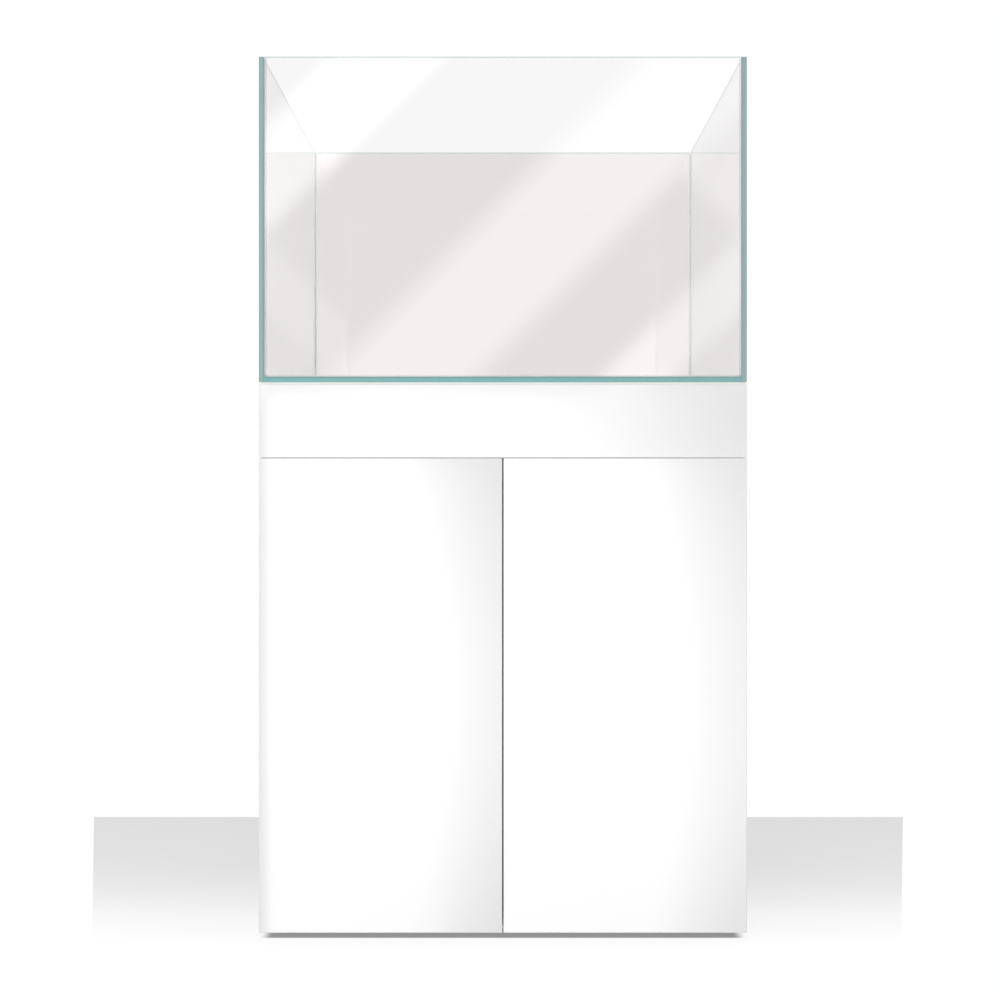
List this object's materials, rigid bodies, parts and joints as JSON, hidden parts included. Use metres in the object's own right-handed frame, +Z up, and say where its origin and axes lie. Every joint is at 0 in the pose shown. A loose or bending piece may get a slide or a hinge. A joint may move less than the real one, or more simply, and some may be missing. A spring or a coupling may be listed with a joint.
{
  "type": "aquarium on stand",
  "caption": "Rimless open glass tank on a glossy white cabinet with a plain fascia, two handle-less doors on concealed hinges, push latches and a shelf.",
  "frame": {"origin": "centre of the cabinet's footprint, on the floor", "axes": "+X to the right, +Y to the back (the doors face -Y), +Z up"},
  "size_m": [0.6, 0.45, 1.083],
  "materials": {
    "gloss_lacquer": "white high-gloss lacquer on fibreboard",
    "white_board": "white melamine-faced board, satin",
    "clear_glass": "clear float glass, polished edges with a green-blue tint",
    "silicone": "clear silicone sealant",
    "foam": "white closed-cell foam",
    "nickel_steel": "nickel-plated pressed steel",
    "zinc": "zinc-plated",
    "beech": "raw beech",
    "white_plastic": "moulded, fine matt",
    "magnet": "dark ground steel",
    "clear_rubber": "clear soft plastic"
  },
  "bodies": {
    "stand": {"arm_pins": "nickel_steel", "arm_screws": "nickel_steel", "back_board": "white_board", "base_board": "white_board", "cam_bolts": "zinc", "cam_discs": "zinc", "corner_seams": "silicone", "fascia_board": "gloss_lacquer", "fascia_screws": "zinc", "floor_seam": "silicone", "front_rail": "white_board", "glide_nails": "zinc", "glides": "white_plastic", "hinge_arms": "nickel_steel", "hinge_plates": "nickel_steel", "latch_housings": "white_plastic", "latch_springs": "zinc", "left_side_board": "white_board", "levelling_mat": "foam", "plate_screws": "nickel_steel", "right_side_board": "white_board", "shelf_board": "white_board", "shelf_pins": "nickel_steel", "tank_back_pane": "clear_glass", "tank_base_pane": "clear_glass", "tank_front_pane": "clear_glass", "tank_left_pane": "clear_glass", "tank_right_pane": "clear_glass", "top_board": "white_board", "wood_dowels": "beech"},
    "left_link": {"left_hinge_links": "nickel_steel"},
    "left_door": {"left_door_panel": "gloss_lacquer", "left_hinge_cups": "nickel_steel", "left_cup_pins": "nickel_steel", "left_cup_screws": "nickel_steel", "left_door_bumpers": "clear_rubber", "left_strike_plate": "nickel_steel"},
    "left_latch": {"left_latch_plunger": "white_plastic", "left_latch_magnet": "magnet"},
    "right_link": {"right_hinge_links": "nickel_steel"},
    "right_door": {"right_door_panel": "gloss_lacquer", "right_hinge_cups": "nickel_steel", "right_cup_pins": "nickel_steel", "right_cup_screws": "nickel_steel", "right_door_bumpers": "clear_rubber", "right_strike_plate": "nickel_steel"},
    "right_latch": {"right_latch_plunger": "white_plastic", "right_latch_magnet": "magnet"}
  },
  "joints": [
    {"name": "left_link_swing", "type": "hinge", "parent": "stand", "child": "left_link", "pos_m": [-0.2704, -0.203, 0.2975], "axis": [0, 0, 1], "range_deg": [0, 35.62]},
    {"name": "left_door_swing", "type": "hinge", "parent": "left_link", "child": "left_door", "pos_m": [-0.2893, -0.2135, 0.2975], "axis": [0, 0, -1], "range_deg": [0, 130.62]},
    {"name": "left_latch_push", "type": "slide", "parent": "stand", "child": "left_latch", "axis": [0, -1, 0], "range_m": [0, 0.014]},
    {"name": "right_link_swing", "type": "hinge", "parent": "stand", "child": "right_link", "pos_m": [0.2704, -0.203, 0.2975], "axis": [0, 0, -1], "range_deg": [0, 35.62]},
    {"name": "right_door_swing", "type": "hinge", "parent": "right_link", "child": "right_door", "pos_m": [0.2893, -0.2135, 0.2975], "axis": [0, 0, 1], "range_deg": [0, 130.62]},
    {"name": "right_latch_push", "type": "slide", "parent": "stand", "child": "right_latch", "axis": [0, -1, 0], "range_m": [0, 0.014]}
  ],
  "couplings": [
    {"joint": "left_link_swing", "follows": "left_door_swing", "ratio": 0.27273},
    {"joint": "left_latch_push", "follows": "left_door_swing", "m_per_rad": 0.0061364},
    {"joint": "right_link_swing", "follows": "right_door_swing", "ratio": 0.27273},
    {"joint": "right_latch_push", "follows": "right_door_swing", "m_per_rad": 0.0061364}
  ]
}
